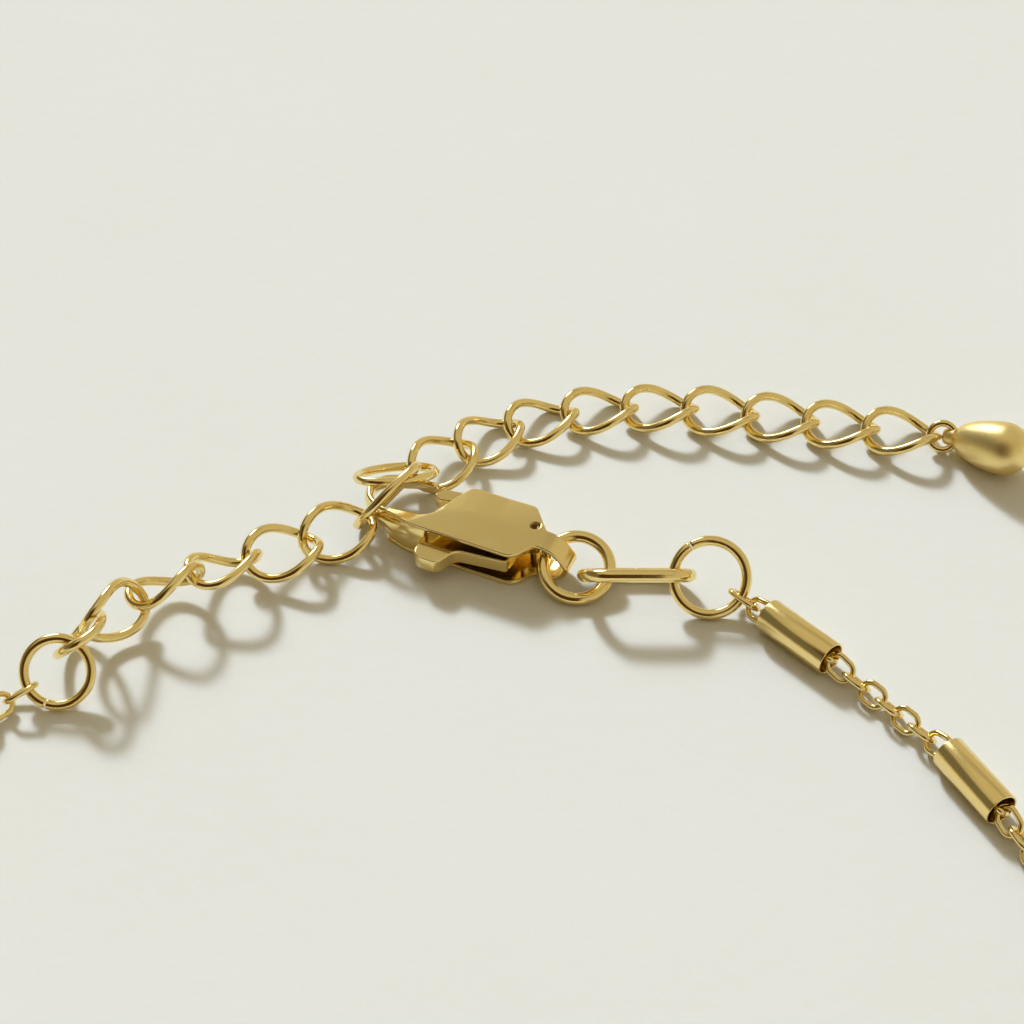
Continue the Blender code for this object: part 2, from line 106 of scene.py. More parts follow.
def linear(hex_colour):
    """sRGB hex to linear red, green, blue and alpha."""
    channels = [int(hex_colour[place:place + 2], 16) / 255 for place in (0, 2, 4)]
    return [c / 12.92 if c <= 0.04045 else ((c + 0.055) / 1.055) ** 2.4 for c in channels] + [1.0]


def add_node(tree, kind, settings=None, inputs=None):
    """Add a node, set its properties, and give each input a value or a link from another node's socket."""
    node = tree.nodes.new(kind)
    for name, value in (settings or {}).items():
        setattr(node, name, value)
    for name, value in (inputs or {}).items():
        if isinstance(value, bpy.types.NodeSocket):
            tree.links.new(value, node.inputs[name])
        else:
            node.inputs[name].default_value = value
    return node


def new_material(name):
    """An empty node material; returns it with its tree and its Principled shader."""
    material = bpy.data.materials.new(name)
    material.use_nodes = True
    return material, material.node_tree, material.node_tree.nodes["Principled BSDF"]


def paper_material():
    """Cotton paper: rough, almost white, its tone moved by slow waves and its height by short fibres."""
    material, tree, shader = new_material("cotton paper, uncoated")
    place = add_node(tree, "ShaderNodeTexCoord").outputs["Object"]
    wave = add_node(tree, "ShaderNodeTexNoise", None,
                    {"Vector": place, "Scale": 1 / PAPER_WAVE, "Detail": 3.0})
    fibre = add_node(tree, "ShaderNodeTexNoise", None,
                     {"Vector": place, "Scale": 1 / FIBRE_LENGTH, "Detail": 5.0})
    tone = add_node(tree, "ShaderNodeMix", {"data_type": "RGBA"},
                    {"Factor": wave.outputs["Fac"], "A": linear(PAPER_HEX), "B": linear(PAPER_SHADE_HEX)})
    bump = add_node(tree, "ShaderNodeBump", None,
                    {"Height": fibre.outputs["Fac"], "Strength": 0.35, "Distance": FIBRE_HEIGHT})
    tree.links.new(tone.outputs["Result"], shader.inputs["Base Color"])
    tree.links.new(bump.outputs["Normal"], shader.inputs["Normal"])
    shader.inputs["Roughness"].default_value = 0.9
    shader.inputs["Specular IOR Level"].default_value = 0.25
    return material


half = PAPER_SIZE / 2
paper_corners = [(-half, -half, 0), (half, -half, 0), (half, half, 0), (-half, half, 0)]
paper_mesh = bpy.data.meshes.new("table")
paper_mesh.from_pydata(paper_corners, [], [(0, 1, 2, 3)])
paper_mesh.materials.append(paper_material())
table = bpy.data.objects.new("table", paper_mesh)
bpy.context.scene.collection.objects.link(table)

window_data = bpy.data.lights.new("window", "SUN")
window_data.energy = WINDOW_STRENGTH
window_data.color = WINDOW_COLOUR
window_data.angle = WINDOW_SOFTNESS
window = bpy.data.objects.new("window", window_data)
window.rotation_euler = (WINDOW_HEIGHT - math.pi / 2, 0, WINDOW_TURN)
window.visible_glossy = False
bpy.context.scene.collection.objects.link(window)


def band(tree, value, low, high, edge):
    """1 between low and high, falling softly to 0 over edge outside them."""
    rise = add_node(tree, "ShaderNodeMapRange", {"interpolation_type": "SMOOTHSTEP"},
                    {"Value": value, "From Min": low - edge, "From Max": low})
    fall = add_node(tree, "ShaderNodeMapRange", {"interpolation_type": "SMOOTHSTEP"},
                    {"Value": value, "From Min": high, "From Max": high + edge, "To Min": 1.0, "To Max": 0.0})
    return add_node(tree, "ShaderNodeMath", {"operation": "MULTIPLY"},
                    {0: rise.outputs["Result"], 1: fall.outputs["Result"]}).outputs["Value"]


def darken(tree, axes, light, patch, depth):
    """Multiply the light by 1 - depth inside a patch of the room, given as limits on some of the axes."""
    inside = 1.0
    for axis, low, high, edge in patch:
        inside = add_node(tree, "ShaderNodeMath", {"operation": "MULTIPLY"},
                          {0: inside, 1: band(tree, axes[axis], low, high, edge)}).outputs["Value"]
    keep = add_node(tree, "ShaderNodeMath", {"operation": "MULTIPLY_ADD"}, {0: inside, 1: -depth, 2: 1.0})
    return add_node(tree, "ShaderNodeMath", {"operation": "MULTIPLY"},
                    {0: light, 1: keep.outputs["Value"]}).outputs["Value"]


room = bpy.data.worlds.new("pale room")
room.use_nodes = True
bpy.context.scene.world = room
room_tree = room.node_tree
direction = add_node(room_tree, "ShaderNodeTexCoord").outputs["Generated"]
axes = add_node(room_tree, "ShaderNodeSeparateXYZ", None, {"Vector": direction}).outputs
level = add_node(room_tree, "ShaderNodeMapRange", None,
                 {"Value": axes["Z"], "To Min": 1.0, "To Max": ZENITH_LEVEL}).outputs["Result"]
level = darken(room_tree, axes, level, LEFT_WALL, LEFT_WALL_DEPTH)
level = darken(room_tree, axes, level, UPPER_BACK_WALL, UPPER_BACK_WALL_DEPTH)
glow = add_node(room_tree, "ShaderNodeVectorMath", {"operation": "SCALE"}, {0: ROOM_COLOUR, "Scale": level})
# the front of the room is left in brown shade, which the steep sides of the metal mirror
front = darken(room_tree, axes, 1.0, FRONT_OF_ROOM, 1.0)
glow = add_node(room_tree, "ShaderNodeMix", {"data_type": "VECTOR"},
                {"Factor": front, "A": SHADE_COLOUR, "B": glow.outputs["Vector"]})
# the pane as the metal mirrors it: a soft-edged bright disc where the window's light comes from
flat_part = math.cos(WINDOW_HEIGHT)
towards = (-math.sin(WINDOW_TURN) * flat_part, math.cos(WINDOW_TURN) * flat_part, math.sin(WINDOW_HEIGHT))
facing = add_node(room_tree, "ShaderNodeVectorMath", {"operation": "DOT_PRODUCT"}, {0: direction, 1: towards})
pane = add_node(room_tree, "ShaderNodeMapRange", {"interpolation_type": "SMOOTHSTEP"},
                {"Value": facing.outputs["Value"], "From Min": math.cos(PANE_WIDTH * PANE_OUTER),
                 "From Max": math.cos(PANE_WIDTH * PANE_INNER), "To Max": PANE_BRIGHTNESS})
lit = add_node(room_tree, "ShaderNodeVectorMath", {"operation": "SCALE"},
               {0: WINDOW_COLOUR, "Scale": pane.outputs["Result"]})
total = add_node(room_tree, "ShaderNodeVectorMath", {"operation": "ADD"},
                 {0: glow.outputs["Result"], 1: lit.outputs["Vector"]})
room_tree.links.new(total.outputs["Vector"], room_tree.nodes["Background"].inputs["Color"])


# Clasp body: one strip of brass sheet, blanked, folded in half at the tail and polished, then gold plated.
# Between the two plates stands the spine bar, which runs on round the bend as the hook.
CLASP_NECK = (1.28, -3.38, 0.0)
CLASP_HEADING = 155.5
CLASP_HEIGHT = 1.95
SHEET = 0.22
SHEET_EDGE = 0.075
FOLD_START = -0.25
FOLD_WAY = (
    # middle of the folded sheet, from the upper plate to the lower one: x, z
    (-0.62, 1.76),
    (-1.02, 1.52),
    (-1.30, 1.20),
    (-1.48, 0.93),
    (-1.36, 0.58),
    (-1.02, 0.27),
    (-0.65, 0.14),
)
PLATE_END = 6.90
PLATE_FRONT = (
    # x, y, corner radius
    (FOLD_START - 1, 0.70, 0.0),
    (0.00, 0.70, 0.14),
    (0.60, 1.74, 0.80),
    (5.70, 1.74, 3.00),
    (6.95, 1.36, 0.0),
)
PLATE_REAR = (
    (FOLD_START - 1, -0.38, 0.0),
    (-0.10, -0.38, 0.20),
    (0.90, -1.60, 0.45),
    (4.05, -1.60, 0.50),
    (5.05, 0.98, 0.90),
    (6.95, 1.11, 0.0),
)
CREASE = (
    # x, y
    (-1.00, -0.60),
    (0.60, -0.20),
    (1.40, -0.06),
    (3.30, -0.02),
    (4.00, 0.12),
    (4.60, 0.40),
    (7.00, 3.00),
)
CREASE_SLOPE = math.tan(math.radians(3.5))
CREASE_SOFTNESS = 0.05
CREASE_START = -0.20
CREASE_RUN_IN = 2.40
RIVET_PLACE = (0.50, -0.46)
PIT_RADIUS = 0.23
PIT_DEPTH = 0.11
PIT_MARGIN = 0.30
FOLD_LEAD = 0.30
HOOK_WIDTH = 0.42
HOOK_SHIFT = -0.03
HOOK_NOSE = 0.22
HOOK_SQUARENESS = 0.9
SPINE_LEAN = -0.14
SPINE_END = 7.20
SPINE_FADE = 0.60
HOOK_KNOTS = (
    # x, y, height
    (5.00, 1.45, 1.90),
    (5.90, 1.42, 1.80),
    (6.85, 1.20, 1.40),
    (7.75, 0.80, 1.00),
    (8.35, 0.30, 0.80),
    (8.55, -0.40, 0.74),
    (8.20, -1.05, 0.72),
    (7.50, -1.40, 0.72),
    (6.70, -1.60, 0.72),
    (5.85, -1.70, 0.72),
)
GOLD_HEX = "F8E3A0"
GOLD_DEEP_HEX = "F2D78E"
# dark brown painted into the rivet's dimple as painted shade
PIT_SHADE_HEX = "5C3E14"


def place_points(points, centre, heading, pitch=0.0, roll=0.0):
    """Turn points about x by roll, lift their +x end by pitch, head them round z, then move them."""
    h, p, r = np.radians([heading, -pitch, roll])
    about_z = np.array([[np.cos(h), -np.sin(h), 0], [np.sin(h), np.cos(h), 0], [0, 0, 1]])
    about_y = np.array([[np.cos(p), 0, np.sin(p)], [0, 1, 0], [-np.sin(p), 0, np.cos(p)]])
    about_x = np.array([[1, 0, 0], [0, np.cos(r), -np.sin(r)], [0, np.sin(r), np.cos(r)]])
    return np.asarray(points) @ (about_z @ about_y @ about_x).T + centre


def smooth_path(knots, per_span):
    """Catmull-Rom curve through the knots: cubic spans, each tangent half the step between its neighbours."""
    knots = np.array(knots, float)
    padded = np.vstack([2 * knots[0] - knots[1], knots, 2 * knots[-1] - knots[-2]])
    a, b, c, d = (padded[first:first + len(knots) - 1, None] for first in range(4))
    blend = np.linspace(0.0, 1.0, per_span, endpoint=False)[None, :, None]
    spans = 0.5 * (2 * b + (c - a) * blend + (2 * a - 5 * b + 4 * c - d) * blend ** 2
                   + (3 * b - a - 3 * c + d) * blend ** 3)
    return np.vstack([spans.reshape(-1, knots.shape[1]), knots[-1:]])


def round_corners(corners, closed):
    """Outline from rows of x, y and radius: an arc tangent to both sides stands at each corner."""
    points = []
    count = len(corners)
    for number, (x, y, radius) in enumerate(corners):
        here = np.array([x, y])
        if radius == 0 or (not closed and number in (0, count - 1)):
            points.append(here[None])
            continue
        back = np.array(corners[number - 1][:2]) - here
        ahead = np.array(corners[(number + 1) % count][:2]) - here
        back, ahead = back / np.linalg.norm(back), ahead / np.linalg.norm(ahead)
        half_angle = math.acos(np.clip(back @ ahead, -1, 1)) / 2
        middle = here + (back + ahead) / np.linalg.norm(back + ahead) * radius / math.sin(half_angle)
        reach = radius / math.tan(half_angle)
        start, stop = here + back * reach - middle, here + ahead * reach - middle
        first = math.atan2(start[1], start[0])
        sweep = (math.atan2(stop[1], stop[0]) - first + math.pi) % (2 * math.pi) - math.pi
        turn = first + sweep * np.linspace(0, 1, 13)
        points.append(middle + radius * np.stack([np.cos(turn), np.sin(turn)], axis=1))
    return np.vstack(points)


def build_piece(name, grid, material, along=True, capped=False):
    """Mesh from grids of points (copies, steps, sides, 3) in layout millimetres.

    A grid closes on itself around its sides, and along its steps if asked; capped closes an open tube's ends.
    """
    grid = np.asarray(grid, float)
    grid = grid.reshape(-1, *grid.shape[-3:])
    index = np.arange(grid.shape[0] * grid.shape[1] * grid.shape[2]).reshape(grid.shape[:3])
    ahead, beside = np.roll(index, -1, axis=1), np.roll(index, -1, axis=2)
    quads = np.stack([index, beside, np.roll(ahead, -1, axis=2), ahead], axis=-1)
    quads = quads if along else quads[:, :-1]
    faces = quads.reshape(-1, 4).tolist()
    if capped:
        faces += index[:, 0].tolist() + index[:, -1, ::-1].tolist()
    mesh = bpy.data.meshes.new(name)
    mesh.from_pydata(to_frame(grid.reshape(-1, 3)), [], faces)
    face_out(mesh)
    mesh.materials.append(material)
    mesh.shade_smooth()
    mesh.set_sharp_from_angle(angle=math.radians(50))
    piece = bpy.data.objects.new(name, mesh)
    bpy.context.scene.collection.objects.link(piece)
    return piece


def face_out(mesh):
    """Turn every face when the mesh's signed volume, summed over its triangles, is negative."""
    mesh.calc_loop_triangles()
    corners = np.empty(len(mesh.loop_triangles) * 3, np.int32)
    mesh.loop_triangles.foreach_get("vertices", corners)
    places = np.empty(len(mesh.vertices) * 3)
    mesh.vertices.foreach_get("co", places)
    places = places.reshape(-1, 3) - places.reshape(-1, 3).mean(axis=0)
    a, b, c = places[corners.reshape(-1, 3)].transpose(1, 0, 2)
    if np.sum(a * np.cross(b, c)) < 0:
        mesh.flip_normals()


def gold_material(name, roughness, wave, wave_height, grain, grain_height, mottle=0.03):
    """Gold-plated brass: yellow metal whose surface keeps slow waves and a fine grain, sized in millimetres.

    Waves bend the reflections as hand polishing does, and the grain widens the highlights a little. The grain
    is drawn coarser than real polishing marks, so that it shows.
    """
    material, tree, shader = new_material(name)
    place = add_node(tree, "ShaderNodeTexCoord").outputs["Object"]
    slow = add_node(tree, "ShaderNodeTexNoise", None,
                    {"Vector": place, "Scale": 1 / (wave * MM), "Detail": 2.0}).outputs["Fac"]
    fine = add_node(tree, "ShaderNodeTexNoise", None,
                    {"Vector": place, "Scale": 1 / (grain * MM), "Detail": 2.0}).outputs["Fac"]
    waves = add_node(tree, "ShaderNodeBump", None, {"Height": slow, "Distance": wave_height * MM})
    grains = add_node(tree, "ShaderNodeBump", None,
                      {"Height": fine, "Distance": grain_height * MM, "Normal": waves.outputs["Normal"]})
    plate_with_gold(tree, shader, slow, fine, (roughness - mottle, roughness + mottle), grains)
    return material


def plate_with_gold(tree, shader, tone, shine, roughness, bump):
    """Metal whose colour follows tone, and whose roughness runs between two values as shine goes up."""
    colour = add_node(tree, "ShaderNodeMix", {"data_type": "RGBA"},
                      {"Factor": tone, "A": linear(GOLD_HEX), "B": linear(GOLD_DEEP_HEX)})
    rough = add_node(tree, "ShaderNodeMapRange", None,
                     {"Value": shine, "From Min": 0.3, "From Max": 0.7, "To Min": roughness[0],
                      "To Max": roughness[1]})
    tree.links.new(colour.outputs["Result"], shader.inputs["Base Color"])
    tree.links.new(rough.outputs["Result"], shader.inputs["Roughness"])
    tree.links.new(bump.outputs["Normal"], shader.inputs["Normal"])
    shader.inputs["Metallic"].default_value = 1.0


def spread(low, high, coarse, close_low, close_high, fine):
    """Coarse even steps from low to high, with fine even steps laid between close_low and close_high."""
    outer = np.linspace(low, high, coarse)
    outer = outer[(outer < close_low) | (outer > close_high)]
    return np.sort(np.concatenate([outer, np.linspace(close_low, close_high, fine)]))


def folded_sheet():
    """A rounded-edge strip section carried along the lower plate, round the fold and along the upper plate.

    The section spans from the rear edge to the front edge at each x; behind the crease the upper plate leans.
    Returns the points, and how deep in the rivet's dimple each one lies, from 0 to 1.
    """
    flat = spread(FOLD_START, PLATE_END, coarse=170, close_low=RIVET_PLACE[0] - PIT_MARGIN,
                  close_high=RIVET_PLACE[0] + PIT_MARGIN, fine=44)
    low, top = SHEET / 2, CLASP_HEIGHT - SHEET / 2
    lead = FOLD_START + FOLD_LEAD
    knots = [(lead, low), (FOLD_START, low), *FOLD_WAY[::-1], (FOLD_START, top), (lead, top)]
    fold = smooth_path(knots, per_span=8)[8:-8]
    way = np.vstack([np.stack([flat, 0 * flat + low], axis=1)[:0:-1], fold,
                     np.stack([flat, 0 * flat + top], axis=1)[1:]])
    ahead = np.gradient(way, axis=0)
    ahead /= np.linalg.norm(ahead, axis=1)[:, None]
    front_line = round_corners(PLATE_FRONT, closed=False)
    rear_line = round_corners(PLATE_REAR, closed=False)
    edge_x = np.maximum(way[:, 0], FOLD_START)
    front = np.interp(edge_x, front_line[:, 0], front_line[:, 1])
    rear = np.interp(edge_x, rear_line[:, 0], rear_line[:, 1])
    # section: share of the way from rear to front, offset from that place, and height over the middle;
    # the steps are fine where the dimple is
    across = spread(0.0, 1.0, coarse=48, close_low=0.22, close_high=0.46, fine=34)
    corner = np.radians(np.linspace(90, 0, 7))[1:]
    draw = SHEET_EDGE * (1 - np.cos(corner))
    lift = SHEET / 2 - SHEET_EDGE * (1 - np.sin(corner))
    edge = np.ones(len(corner))
    share = np.concatenate([across, edge, edge, across[::-1], 0 * edge, 0 * edge])
    inward = SHEET_EDGE * (1 - 2 * across)
    offset = np.concatenate([inward, -draw, -draw[::-1], inward[::-1], draw, draw[::-1]])
    face = 0 * across + SHEET / 2
    rise = np.concatenate([face, lift, -lift[::-1], -face, -lift, lift[::-1]])
    y = rear[:, None] + (front - rear)[:, None] * share + offset
    px = way[:, 0, None] - ahead[:, 1, None] * rise
    pz = way[:, 1, None] + ahead[:, 0, None] * rise
    upper = (np.arange(len(way)) >= len(way) - len(flat))[:, None]
    crease_x, crease_y = np.array(CREASE).T
    behind = np.interp(px, crease_x, crease_y) - y
    lean = CREASE_SLOPE * CREASE_SOFTNESS * np.logaddexp(0.0, behind / CREASE_SOFTNESS)
    away = ((px - RIVET_PLACE[0]) ** 2 + (y - RIVET_PLACE[1]) ** 2) / PIT_RADIUS ** 2
    dimple = upper * np.exp(-away ** 3) * np.clip((rise + SHEET / 2) / SHEET, 0, 1)
    pz = pz - upper * lean * np.clip((px - CREASE_START) / CREASE_RUN_IN, 0, 1) - PIT_DEPTH * dimple
    return place_points(np.stack([px, y, pz], axis=-1), CLASP_NECK, CLASP_HEADING), dimple


def hook_bar():
    """A rounded-square section carried along the spine and round the bend, and drawn in at the nose."""
    path = smooth_path(HOOK_KNOTS, per_span=12)
    steps = np.gradient(path[:, :2], axis=0)
    side = np.stack([-steps[:, 1], steps[:, 0]], axis=1) / np.linalg.norm(steps, axis=1)[:, None]
    left = np.cumsum(np.linalg.norm(steps[::-1], axis=1))[::-1]
    taper = np.sqrt(np.clip(1 - (1 - np.clip(left / HOOK_NOSE, 0, 1)) ** 2, 0.02, 1))
    angle = np.linspace(0, 2 * np.pi, 40, endpoint=False)
    wide = np.sign(np.cos(angle)) * np.abs(np.cos(angle)) ** HOOK_SQUARENESS * HOOK_WIDTH / 2
    tall = np.sign(np.sin(angle)) * np.abs(np.sin(angle)) ** HOOK_SQUARENESS
    # the foot of the spine stands a little forward of its top
    foot = SPINE_LEAN * np.clip((SPINE_END - path[:, 0, None]) / SPINE_FADE, 0, 1) * tall + HOOK_SHIFT
    x = path[:, 0, None] + side[:, 0, None] * (wide + foot) * taper[:, None]
    y = path[:, 1, None] + side[:, 1, None] * (wide + foot) * taper[:, None]
    z = CLASP_HEIGHT / 2 + tall * (path[:, 2] / 2 * taper)[:, None]
    return place_points(np.stack([x, y, z], axis=-1), CLASP_NECK, CLASP_HEADING)


# tumble-polished sheet: broad reflections with soft edges, hardly wavy
sheet_gold = gold_material("gold-plated brass sheet, tumble polished",
                           roughness=0.16, wave=1.6, wave_height=0.004, grain=0.05, grain_height=0.0009)
sheet_tree = sheet_gold.node_tree
sheet_shader = sheet_tree.nodes["Principled BSDF"]
# painted shade: the rivet's dimple is mixed toward dark brown, painted in for the shadow inside the pit
in_dimple = add_node(sheet_tree, "ShaderNodeAttribute", {"attribute_name": "dimple"}).outputs["Fac"]
shaded_pit = add_node(sheet_tree, "ShaderNodeMix", {"data_type": "RGBA"},
                  {"Factor": in_dimple, "A": sheet_shader.inputs["Base Color"].links[0].from_socket,
                   "B": linear(PIT_SHADE_HEX)})
sheet_tree.links.new(shaded_pit.outputs["Result"], sheet_shader.inputs["Base Color"])
# polished bar: smaller and brighter reflections than the sheet's
bar_gold = gold_material("gold-plated brass bar, polished",
                         roughness=0.11, wave=0.9, wave_height=0.008, grain=0.05, grain_height=0.0006)
sheet_points, sheet_dimple = folded_sheet()
sheet_piece = build_piece("clasp_sheet", sheet_points, sheet_gold, along=False, capped=True)
sheet_piece.data.attributes.new("dimple", "FLOAT", "POINT").data.foreach_set("value", sheet_dimple.ravel())
bar_piece = build_piece("clasp_hook_bar", hook_bar(), bar_gold, along=False, capped=True)
for piece in (sheet_piece, bar_piece):
    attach(piece, "bracelet")
    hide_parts("clasp_body")


# Rivet: a short brass pin whose heads are set flush; the upper one leaves a small dimple in the plate.
# Lever: solid brass, its gate arm along the rear and its thumb knob at the front, turning on the rivet.
RIVET_RADIUS = 0.19
RIVET_FOOT = 0.02
RIVET_SINK = 0.03
RIVET_EDGE = 0.03
LEVER_BOTTOM = 0.66
LEVER_THICKNESS = 0.70
LEVER_EDGE = 0.06
LEVER_OUTLINE = (
    # x, y, corner radius
    (0.06, -0.04, 0.40),
    (0.06, -0.72, 0.36),
    (0.80, -1.48, 0.60),
    (4.40, -1.52, 0.60),
    (5.30, -1.42, 0.15),
    (5.68, -0.98, 0.10),
    (5.35, -0.70, 0.10),
    (4.65, -0.85, 0.30),
    (4.24, -0.62, 0.30),
    (4.72, 0.95, 0.30),
    (5.00, 1.88, 0.15),
    (5.00, 2.95, 0.55),
    (3.72, 2.95, 0.45),
    (3.25, 1.92, 0.50),
    (0.95, 1.62, 0.15),
    (0.75, 0.25, 0.50),
)


def even_outline(points, count):
    """The same closed outline cut into count equal steps of length."""
    closed = np.vstack([points, points[:1]])
    far = np.concatenate([[0], np.cumsum(np.linalg.norm(np.diff(closed, axis=0), axis=1))])
    at = np.linspace(0, far[-1], count, endpoint=False)
    return np.stack([np.interp(at, far, closed[:, axis]) for axis in (0, 1)], axis=1)


def rounded_slab(outline, bottom, top, edge):
    """Rings of one outline from bottom to top; the first and last six draw in by a quarter circle."""
    ahead = np.roll(outline, -1, axis=0) - np.roll(outline, 1, axis=0)
    out = np.stack([ahead[:, 1], -ahead[:, 0]], axis=1) / np.linalg.norm(ahead, axis=1)[:, None]
    area = np.sum(outline[:, 0] * np.roll(outline[:, 1], -1) - outline[:, 1] * np.roll(outline[:, 0], -1))
    out *= math.copysign(1.0, area)
    turn = np.radians(np.linspace(0, 90, 6))
    draw = edge * np.concatenate([1 - np.sin(turn), 1 - np.sin(turn[::-1])])
    height = np.concatenate([bottom + edge * (1 - np.cos(turn)), top - edge * (1 - np.cos(turn[::-1]))])
    flat = outline[None] - out[None] * draw[:, None, None]
    level = np.broadcast_to(height[:, None, None], (len(height), len(outline), 1))
    return np.concatenate([flat, level], axis=-1)


# satin lever: even tone with a soft sheen along its rounded edges
lever_gold = gold_material("gold-plated brass lever, satin",
                           roughness=0.14, wave=1.2, wave_height=0.006, grain=0.04, grain_height=0.0008)
lever_line = even_outline(round_corners(LEVER_OUTLINE, closed=True), 420)
lever_rings = rounded_slab(lever_line, LEVER_BOTTOM, LEVER_BOTTOM + LEVER_THICKNESS, LEVER_EDGE)
lever_points = place_points(lever_rings, CLASP_NECK, CLASP_HEADING)
lever_piece = build_piece("clasp_lever_cast", lever_points, lever_gold, along=False, capped=True)
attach(lever_piece, "lever")
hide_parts("clasp_lever")

circle = np.radians(np.arange(0, 360, 9))
rivet_line = np.array(RIVET_PLACE) + RIVET_RADIUS * np.stack([np.cos(circle), np.sin(circle)], axis=1)
rivet_rings = rounded_slab(rivet_line, RIVET_FOOT, CLASP_HEIGHT - PIT_DEPTH - RIVET_SINK, RIVET_EDGE)
rivet_points = place_points(rivet_rings, CLASP_NECK, CLASP_HEADING)
rivet_piece = build_piece("clasp_rivet_pin", rivet_points, bar_gold, along=False, capped=True)
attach(rivet_piece, "bracelet")
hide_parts("clasp_rivet")


# Jump rings: drawn round brass wire, wound, sawn, closed butt to butt and gold plated.
# The two thick ones carry the clasp; the sawn joint shows as a bright nick.
JUMP_RINGS = (
    # name, length, width, wire, centre, heading, pitch, roll, place of the joint in degrees
    ("clasp_ring", 3.50, 3.50, 0.55, (2.85, -4.34, 0.88), 0, 0, 23, 160),
    ("oval_ring", 5.25, 3.00, 0.60, (5.47, -5.07, 1.16), 0, 0, -45, 90),
    ("round_ring", 3.68, 3.68, 0.46, (8.64, -5.45, 1.40), 0, 0, 45, 121),
    ("end_ring", 3.30, 3.30, 0.44, (-19.25, -10.85, 1.28), 0, 0, 45, 250),
)
JOINT_GAP = 0.03
JOINT_ROUNDING = 0.05
JOINT_TRIM = 0.8
JOINT_BLUNTNESS = 0.98
SIDE_SHARPNESS = 9


def circles_round(path, out, up, radius, sides):
    """A circle about each point of the path, in the plane of its out and up directions."""
    angle = np.linspace(0, 2 * np.pi, sides, endpoint=False)
    spokes = out[:, None] * np.cos(angle)[None, :, None] + up[:, None] * np.sin(angle)[None, :, None]
    return path[:, None] + np.reshape(radius, (-1, 1, 1)) * spokes


def open_tube(path, radius, sides):
    """A circle of the given radius carried square to a level path; its first spoke is level too."""
    tangent = np.gradient(path, axis=0)
    tangent /= np.linalg.norm(tangent, axis=1)[:, None]
    out = np.cross(tangent, (0, 0, 1))
    out /= np.linalg.norm(out, axis=1)[:, None]
    return circles_round(path, out, np.cross(out, tangent), radius, sides)


def ring_line(length, width, start, steps):
    """Two half circles joined by straight sides, run once round from the start angle, less the joint."""
    reach = (length - width) / 2
    turn = np.radians(start) + np.linspace(0, 2 * np.pi, steps)
    bend = width / 2
    x = reach * np.tanh(np.cos(turn) * SIDE_SHARPNESS) + bend * np.cos(turn)
    line = np.stack([x, bend * np.sin(turn), np.zeros(steps)], axis=1)
    far = np.concatenate([[0], np.cumsum(np.linalg.norm(np.diff(line, axis=0), axis=1))])
    at = np.linspace(JOINT_GAP / 2, far[-1] - JOINT_GAP / 2, steps)
    return np.stack([np.interp(at, far, line[:, axis]) for axis in range(3)], axis=1), at - JOINT_GAP / 2


# drawn wire: near-mirror bands, bright and brown by turns, run along it
ring_gold = gold_material("gold-plated drawn wire, polished",
                          roughness=0.10, wave=0.7, wave_height=0.006, grain=0.05, grain_height=0.0012)
for name, length, width, wire, centre, heading, pitch, roll, joint in JUMP_RINGS:
    line, walked = ring_line(length - wire, width - wire, joint, 220)
    from_end = np.minimum(walked, walked[-1] - walked)
    rounding = np.clip(1 - from_end / JOINT_ROUNDING, 0, 1)
    trim = JOINT_ROUNDING * (1 - np.sqrt(1 - rounding ** 2 * JOINT_BLUNTNESS)) * JOINT_TRIM
    rings = open_tube(line, wire / 2 - trim, 28)
    piece = build_piece(name + "_wire", place_points(rings, centre, heading, pitch, roll), ring_gold,
                        along=False, capped=True)
    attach(piece, "bracelet")
    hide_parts(name)


# Extender: curb links of round brass wire, each bent oval and twisted so that the row lies flat, soldered
# shut and gold plated. Two plain open links take the hook.
LINK_LENGTH = 3.76
LINK_WIDTH = 2.90
LINK_WIRE = 0.42
LINK_TWIST = 76.0
OPEN_LINKS = (7, 8)
OPEN_LINK_LENGTH = 4.20
LINK_PLACES = (
    # x, y, z, heading, pitch, roll, twist
    (-18.45, -9.05, 1.59, 96.4, -35.7, -36.4, 20),
    (-17.09, -7.74, 1.68, 46.2, -15.3, 77.6, 60),
    (-15.07, -5.96, 1.50, 26.0, 6.2, -38.0, LINK_TWIST),
    (-12.64, -4.66, 1.34, 31.7, -10.3, -24.0, LINK_TWIST),
    (-10.15, -3.54, 1.09, 18, -0.7, 13.9, LINK_TWIST),
    (-7.78, -2.23, 1.02, 24.4, -0.7, 30, LINK_TWIST),
    (-5.58, -0.56, 1.60, 31.5, 34.2, -54.9, 0),
    (-5.23, 0.84, 1.57, 28.6, -15.7, -25.8, 0),
    (-3.21, 2.48, 0.85, 38.3, -2, 17.8, LINK_TWIST),
    (-1.10, 4.23, 0.70, 37.9, -4.9, 4.9, LINK_TWIST),
    (1.37, 5.44, 0.64, 21.7, -1.9, -1.3, LINK_TWIST),
    (4.09, 6.06, 0.67, 6, -0.2, -2.2, LINK_TWIST),
    (6.90, 6.12, 0.72, -1.9, 0.9, -2.3, LINK_TWIST),
    (9.72, 5.88, 0.71, -6, -2.1, 3.3, LINK_TWIST),
    (12.50, 5.46, 0.68, -9.3, 0.2, 1.9, LINK_TWIST),
    (15.26, 4.99, 0.68, -8.5, 0.1, -1.2, LINK_TWIST),
    (18.01, 4.50, 0.71, -10.2, 0.5, -1.3, LINK_TWIST),
)


def twisted_oval(length, width, twist, steps):
    """An ellipse whose plane turns about its long axis, by twist degrees from one end to the other."""
    turn = np.linspace(0, 2 * np.pi, steps, endpoint=False)
    lean = np.radians(-twist / 2) * np.cos(turn)
    side = width / 2 * np.sin(turn)
    return np.stack([length / 2 * np.cos(turn), side * np.cos(lean), side * np.sin(lean)], axis=1)


